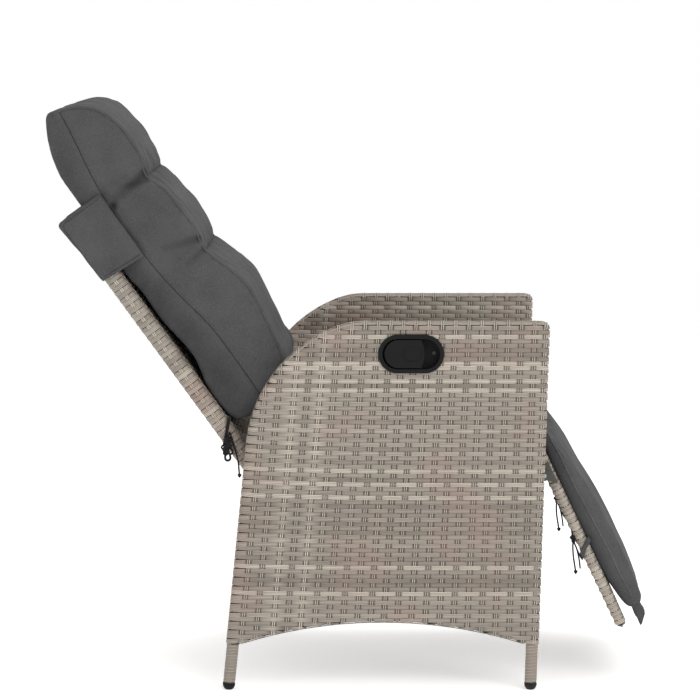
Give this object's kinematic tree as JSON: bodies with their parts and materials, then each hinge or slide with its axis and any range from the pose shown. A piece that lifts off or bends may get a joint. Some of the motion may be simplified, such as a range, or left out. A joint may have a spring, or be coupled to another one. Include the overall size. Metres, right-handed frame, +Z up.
{
  "type": "reclining garden armchair with footrest",
  "caption": "Woven garden armchair that reclines, with a footrest that rises as the back leans, a side release handle and a padded high-back cushion.",
  "frame": {"origin": "on the floor, midway across the chair and midway along it as it stands reclined", "axes": "+X to the front of the chair, +Y to the sitter's left, +Z up"},
  "size_m": [1.0515, 0.593, 1.0234],
  "materials": {
    "rattan": "flat polyethylene strands in mixed pale and mid grey-brown, slightly ribbed",
    "frame_metal": "grey powder coat",
    "zinc": "zinc plated",
    "black_plastic": "moulded, satin",
    "nylon": "moulded nylon",
    "spring_black": "black enamel",
    "rod_chrome": "ground and plated",
    "cushion_fabric": "dark grey plain-woven polyester",
    "tie_fabric": "folded strip of the cushion's fabric",
    "tie_cord": "black braided cord",
    "cable_sheath": "black extruded sheath"
  },
  "bodies": {
    "base": {"right_side_frame": "frame_metal", "left_side_frame": "frame_metal", "right_side_weave": "rattan", "left_side_weave": "rattan", "leg_wraps": "rattan", "foot_caps": "black_plastic", "seat_frame": "frame_metal", "seat_weave": "rattan", "seat_bolts": "zinc", "rear_stretcher": "rattan", "stretcher_bolts": "zinc", "back_pivot_bolts": "zinc", "footrest_pivot_bolts": "zinc", "gas_spring_rod": "rod_chrome", "release_head": "zinc", "release_lever_pin": "zinc", "spring_bracket": "frame_metal", "spring_bracket_pin": "zinc", "handle_bezel": "black_plastic", "handle_pin": "zinc", "handle_spring": "zinc", "handle_screws": "zinc", "release_cable": "cable_sheath", "cable_ferrules": "zinc", "seat_cushion": "cushion_fabric"},
    "back": {"back_frame": "frame_metal", "back_weave": "rattan", "back_hinge_plates": "frame_metal", "back_pivot_bushes": "nylon", "crank_bar": "frame_metal", "crank_pins": "zinc", "link_clips": "zinc", "back_cushion": "cushion_fabric", "cushion_hood": "cushion_fabric", "back_tie_straps": "tie_fabric", "right_back_tie": "tie_cord", "left_back_tie": "tie_cord"},
    "footrest": {"footrest_frame": "frame_metal", "footrest_weave": "rattan", "footrest_pivot_bushes": "nylon", "footrest_ears": "frame_metal", "footrest_pins": "zinc", "footrest_cushion": "cushion_fabric", "footrest_tie_straps": "tie_fabric", "right_footrest_tie": "tie_cord", "left_footrest_tie": "tie_cord"},
    "right_link_bar": {"right_link": "frame_metal"},
    "left_link_bar": {"left_link": "frame_metal"},
    "spring_cylinder": {"gas_spring_cylinder": "spring_black"},
    "release_arm": {"release_lever": "zinc"},
    "release_button": {"release_pin": "rod_chrome"},
    "handle": {"handle_lever": "black_plastic"}
  },
  "joints": [
    {"name": "back_recline", "type": "hinge", "parent": "base", "child": "back", "pos_m": [-0.105, 0, 0.433], "axis": [0, 1, 0], "range_deg": [0, 30]},
    {"name": "footrest_swing", "type": "hinge", "parent": "base", "child": "footrest", "pos_m": [0.325, 0, 0.433], "axis": [0, 1, 0], "range_deg": [0, 30]},
    {"name": "right_link_pivot", "type": "hinge", "parent": "back", "child": "right_link_bar", "pos_m": [-0.08947, -0.2515, 0.37504], "axis": [0, 1, 0], "range_deg": [-30, 0]},
    {"name": "left_link_pivot", "type": "hinge", "parent": "back", "child": "left_link_bar", "pos_m": [-0.08947, 0.2515, 0.37504], "axis": [0, 1, 0], "range_deg": [-30, 0]},
    {"name": "spring_slide", "type": "slide", "parent": "base", "child": "spring_cylinder", "axis": [-1, 0, 0], "range_m": [0, 0.03116]},
    {"name": "handle_pull", "type": "hinge", "parent": "base", "child": "handle", "pos_m": [0.0783, -0.288, 0.5935], "axis": [0, 0, -1], "range_deg": [0, 30], "stiffness_Nm_per_rad": 0.8, "springref_deg": -28.65},
    {"name": "release_arm_turn", "type": "hinge", "parent": "base", "child": "release_arm", "pos_m": [0.224, 0, 0.38404], "axis": [0, 1, 0], "range_deg": [0, 9.9]},
    {"name": "release_button_push", "type": "slide", "parent": "base", "child": "release_button", "axis": [-1, 0, 0], "range_m": [0, 0.0015]}
  ],
  "couplings": [
    {"joint": "footrest_swing", "follows": "back_recline", "ratio": 1},
    {"joint": "right_link_pivot", "follows": "back_recline", "ratio": -1},
    {"joint": "left_link_pivot", "follows": "back_recline", "ratio": -1},
    {"joint": "spring_slide", "follows": "back_recline", "m_per_rad": 0.059317},
    {"joint": "release_arm_turn", "follows": "handle_pull", "ratio": 0.33},
    {"joint": "release_button_push", "follows": "handle_pull", "m_per_rad": 0.002864}
  ]
}
